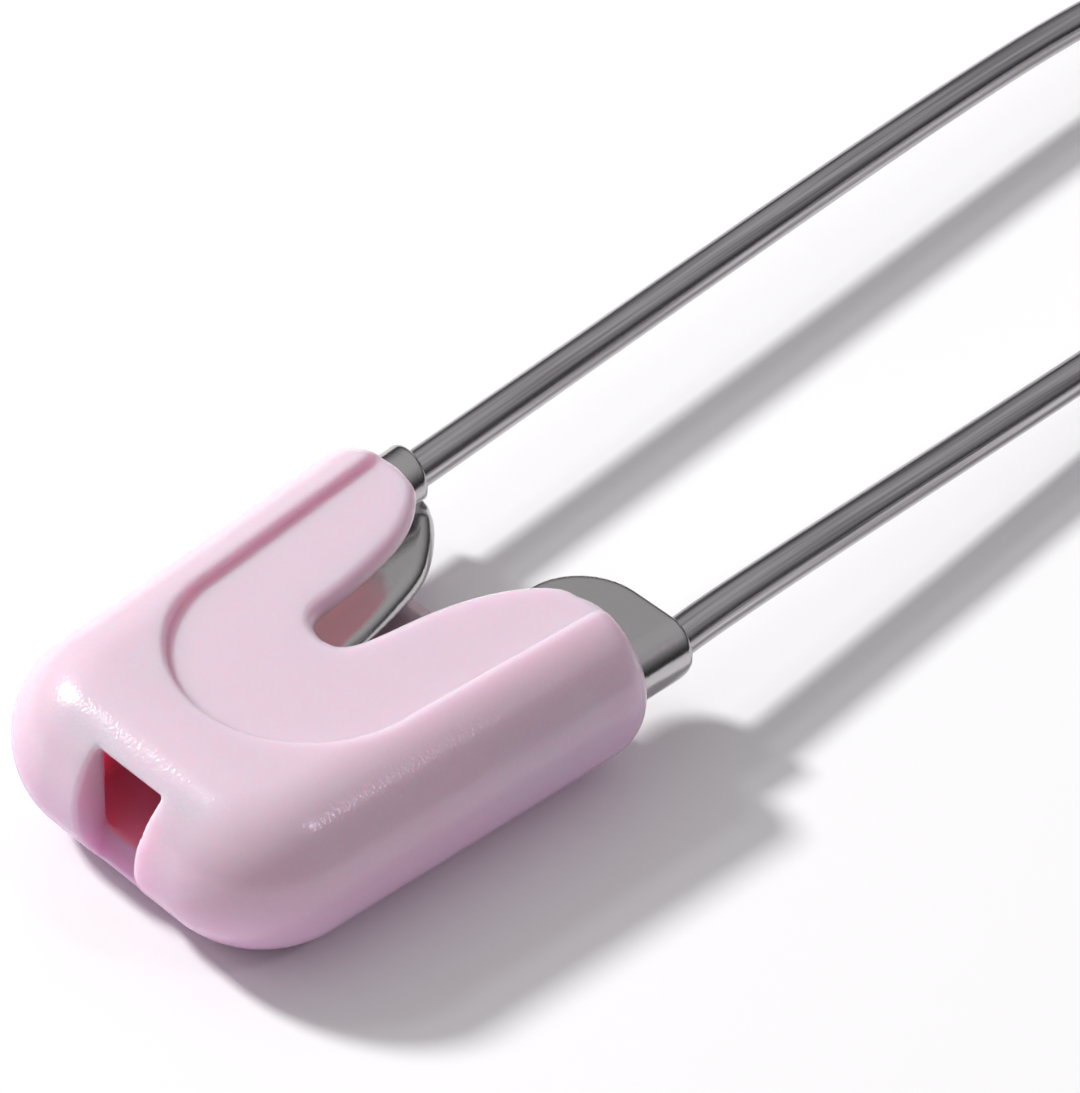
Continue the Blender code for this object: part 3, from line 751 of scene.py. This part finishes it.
def wire(name, path, made, taper=False):
    """A round wire along a path, with a UV map that runs round it and along it in millimetres."""
    keep = [0]
    for i in range(1, len(path)):
        if np.linalg.norm(path[i] - path[keep[-1]]) > SAME_POINT:
            keep.append(i)
    path = path[keep]
    steps = np.linalg.norm(np.diff(path, axis=0), axis=1)
    along = np.concatenate([[0], np.cumsum(steps)])
    count = round(along[-1] / WIRE_STEP) + 1
    marks = np.linspace(0, along[-1], count)
    line = np.stack([np.interp(marks, along, path[:, a]) for a in range(3)], axis=1)
    ahead = np.gradient(line, axis=0)
    ahead /= np.linalg.norm(ahead, axis=1)[:, None]
    side = np.cross(ahead, (0, 0, 1))
    side /= np.linalg.norm(side, axis=1)[:, None]
    up = np.cross(side, ahead)
    radius = np.full(count, WIRE_RADIUS)
    if taper:
        share = np.clip(marks / POINT_LENGTH, 0, 1)
        radius *= POINT_FLAT_SHARE + (1 - POINT_FLAT_SHARE) * np.sin(pi / 2 * share)
    turn = np.arange(WIRE_SIDES) * 2 * pi / WIRE_SIDES
    rings = side[:, None] * np.cos(turn)[:, None] + up[:, None] * np.sin(turn)[:, None]
    points = (line[:, None] + rings * radius[:, None, None]).reshape(-1, 3)
    rows = np.arange(count - 1)[:, None] * WIRE_SIDES
    this = np.arange(WIRE_SIDES)
    after = (this + 1) % WIRE_SIDES
    ring = [rows + this, rows + after, rows + after + WIRE_SIDES, rows + this + WIRE_SIDES]
    quads = np.stack(ring, axis=2)
    obj = mesh_object(name, points, quads.reshape(-1, 4), made)
    layer = obj.data.uv_layers.new(name="round_and_along")
    u = np.stack([this, this + 1, this + 1, this], axis=1) / WIRE_SIDES
    v = np.stack([marks[:-1], marks[:-1], marks[1:], marks[1:]], axis=1)
    uv = np.stack(np.broadcast_arrays(u[None], v[:, None]), axis=3)
    layer.data.foreach_set("uv", uv.reshape(-1).astype(np.float32))
    return obj


def make_wires(made):
    top = WIRE_RADIUS + COIL_RISE
    spine = np.concatenate(
        [
            held_arm(-1, HOOK_LENGTH - SPINE_END_SETBACK),
            free_arm(-1, top, SPINE_MERGE_DEG, hook_slope, SPINE_HANDLE_SHARES),
            coil(180 - SPINE_MERGE_DEG, 0),
        ]
    )
    arm = np.concatenate(
        [
            held_arm(1, POINT_DEPTH),
            free_arm(1, WIRE_RADIUS, ARM_MERGE_DEG, -tan(radians(ARM_LEAN_DEG)), ARM_HANDLE_SHARES),
            coil(ARM_MERGE_DEG - 360, -180),
        ]
    )
    fixed = wire("spine_and_upper_coil", spine, made)
    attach(fixed, "spine")
    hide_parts("spine_wire")
    turning = wire("middle_of_coil", coil(0, -180), made)
    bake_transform(turning)
    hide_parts("spring_coil")
    moving = wire("arm_and_lower_coil", arm, made, taper=True)
    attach(moving, "pin_arm")
    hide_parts("pin_arm")


# The camera, worked out from the wires' and the cover's edges in the photograph
CAMERA_AZIMUTH_DEG = 41.796
CAMERA_ELEVATION_DEG = 41.902
CAMERA_ROLL_DEG = 3.537
CAMERA_DISTANCE = 102.0 * MM
FRAME_PIXELS = (1080, 1093)
FOCAL_PIXELS = 4180.0
SENSOR_WIDTH_MM = 36.0
CLIP_FACTOR = 100.0
SEEN_POINT = Vector((0.0, -13.104, 2.15)) * MM
SEEN_PIXEL = (548.26, 552.49)


def direction(azimuth_deg, elevation_deg):
    """The way to a place seen at this azimuth and elevation, where azimuth 0 looks along +Y."""
    azimuth, elevation = radians(azimuth_deg), radians(elevation_deg)
    return Vector((sin(azimuth) * cos(elevation), -cos(azimuth) * cos(elevation), sin(elevation)))


def make_camera():
    """A camera that puts the seen point on its pixel, at the photograph's angle."""
    back = direction(CAMERA_AZIMUTH_DEG, CAMERA_ELEVATION_DEG)
    azimuth, roll = radians(CAMERA_AZIMUTH_DEG), radians(CAMERA_ROLL_DEG)
    level = Vector((cos(azimuth), sin(azimuth), 0))
    upright = back.cross(level)
    right = level * cos(roll) + upright * sin(roll)
    up = upright * cos(roll) - level * sin(roll)
    scale = CAMERA_DISTANCE / FOCAL_PIXELS
    across = SEEN_PIXEL[0] - FRAME_PIXELS[0] / 2
    down = SEEN_PIXEL[1] - FRAME_PIXELS[1] / 2
    target = SEEN_POINT - right * across * scale + up * down * scale
    data = bpy.data.cameras.new("camera")
    data.sensor_width = SENSOR_WIDTH_MM
    data.lens = FOCAL_PIXELS * SENSOR_WIDTH_MM / max(FRAME_PIXELS)
    data.clip_start = CAMERA_DISTANCE / CLIP_FACTOR
    data.clip_end = CAMERA_DISTANCE * CLIP_FACTOR
    camera = bpy.data.objects.new("camera", data)
    turn = Matrix((right, up, back)).transposed().to_4x4()
    camera.matrix_world = Matrix.Translation(target + back * CAMERA_DISTANCE) @ turn
    bpy.context.scene.collection.objects.link(camera)
    bpy.context.scene.camera = camera


# The floor and the light
FLOOR_SIZE = 3.0
FLOOR_COLOUR = (0.93, 0.93, 0.93)
FLOOR_ROUGHNESS = 0.9
WHITE = (1.0, 1.0, 1.0)
FLOOR_GLOW = 0.01
SKY_STRENGTH = 0.575
HORIZON_STRENGTH = 0.03
HORIZON_SHARES = (0.05, 0.80)
DIM_AZIMUTH_DEG = 60.0
DIM_LOSS_SHARE = 0.65
DIM_SHARES = (-0.20, 0.90)
KEY_AZIMUTH_DEG = 289.0
KEY_ELEVATION_DEG = 40.0
LAMP_DISTANCE = 0.5
KEY_SIZE = 0.065
KEY_WATTS = 2.26
FILL_AZIMUTH_DEG = 116.0
FILL_ELEVATION_DEG = 49.0
FILL_SIZE = 0.03
FILL_WATTS = 0.15
FILL_COLOUR = (1.0, 0.75, 1.0)
GLINT_AZIMUTH_DEG = 292.0
GLINT_ELEVATION_DEG = 49.0
GLINT_SIZE = 0.05
GLINT_WATTS = 0.17


def seen_share(made):
    """One for the rays by which the floor is seen, straight or mirrored, and zero for its light."""
    rays = made.node_tree.nodes.new("ShaderNodeLightPath")
    seen = rays.outputs["Is Camera Ray"]
    for name in ("Is Glossy Ray", "Is Transmission Ray"):
        higher = made.node_tree.nodes.new("ShaderNodeMath")
        higher.operation = "MAXIMUM"
        made.node_tree.links.new(seen, higher.inputs[0])
        made.node_tree.links.new(rays.outputs[name], higher.inputs[1])
        seen = higher.outputs[0]
    return seen


def make_floor():
    """A plain white floor with a faint glow, which only shows where the floor is seen."""
    bpy.ops.mesh.primitive_plane_add(size=FLOOR_SIZE)
    floor = bpy.context.object
    floor.name = "floor"
    made = material("floor", FLOOR_COLOUR, FLOOR_ROUGHNESS, 0.0)
    shader = made.node_tree.nodes["Principled BSDF"]
    shader.inputs["Specular IOR Level"].default_value = 0.0
    shader.inputs["Emission Color"].default_value = (*WHITE, 1.0)
    glow = made.node_tree.nodes.new("ShaderNodeMath")
    glow.operation = "MULTIPLY"
    glow.inputs[1].default_value = FLOOR_GLOW
    made.node_tree.links.new(seen_share(made), glow.inputs[0])
    link(made, glow.outputs[0], "Emission Strength")
    floor.data.materials.append(made)


def make_world():
    """A soft sky that is dark by the horizon, bright overhead, and dimmer towards one side."""
    world = bpy.data.worlds.new("studio")
    bpy.context.scene.world = world
    world.use_nodes = True
    nodes, links = world.node_tree.nodes, world.node_tree.links
    way = nodes.new("ShaderNodeTexCoord").outputs["Generated"]
    parts = nodes.new("ShaderNodeSeparateXYZ")
    links.new(way, parts.inputs[0])
    strengths = (HORIZON_STRENGTH, SKY_STRENGTH)
    height = world_range(world, parts.outputs["Z"], HORIZON_SHARES, strengths)
    facing = nodes.new("ShaderNodeVectorMath")
    facing.operation = "DOT_PRODUCT"
    facing.inputs[1].default_value = direction(DIM_AZIMUTH_DEG, 0)
    links.new(way, facing.inputs[0])
    side = world_range(world, facing.outputs["Value"], DIM_SHARES, (1.0, 1.0 - DIM_LOSS_SHARE))
    total = nodes.new("ShaderNodeMath")
    total.operation = "MULTIPLY"
    links.new(height, total.inputs[0])
    links.new(side, total.inputs[1])
    background = nodes["Background"]
    background.inputs["Color"].default_value = (*WHITE, 1.0)
    links.new(total.outputs[0], background.inputs["Strength"])


def world_range(world, value, source, target):
    """A value that goes softly from one pair of limits to another."""
    made = world.node_tree.nodes.new("ShaderNodeMapRange")
    made.interpolation_type = "SMOOTHSTEP"
    made.inputs["From Min"].default_value = source[0]
    made.inputs["From Max"].default_value = source[1]
    made.inputs["To Min"].default_value = target[0]
    made.inputs["To Max"].default_value = target[1]
    world.node_tree.links.new(value, made.inputs["Value"])
    return made.outputs["Result"]


def lamp(name, azimuth_deg, elevation_deg, size, watts, colour):
    """A round soft lamp that faces the pin."""
    way = direction(azimuth_deg, elevation_deg)
    data = bpy.data.lights.new(name, "AREA")
    data.shape = "DISK"
    data.size = size
    data.energy = watts
    data.color = colour
    light = bpy.data.objects.new(name, data)
    light.location = way * LAMP_DISTANCE
    light.rotation_mode = "QUATERNION"
    light.rotation_quaternion = way.to_track_quat("Z", "Y")
    bpy.context.scene.collection.objects.link(light)


def make_lamps():
    lamp("key", KEY_AZIMUTH_DEG, KEY_ELEVATION_DEG, KEY_SIZE, KEY_WATTS, WHITE)
    lamp("fill", FILL_AZIMUTH_DEG, FILL_ELEVATION_DEG, FILL_SIZE, FILL_WATTS, FILL_COLOUR)
    lamp("glint", GLINT_AZIMUTH_DEG, GLINT_ELEVATION_DEG, GLINT_SIZE, GLINT_WATTS, WHITE)


plastic = pink_plastic()
nickel = bright_nickel()
steel = drawn_steel()
make_cover(plastic)
make_catch(nickel)
make_wires(steel)
make_camera()
make_floor()
make_world()
make_lamps()

bpy.context.scene.view_settings.view_transform = "Standard"
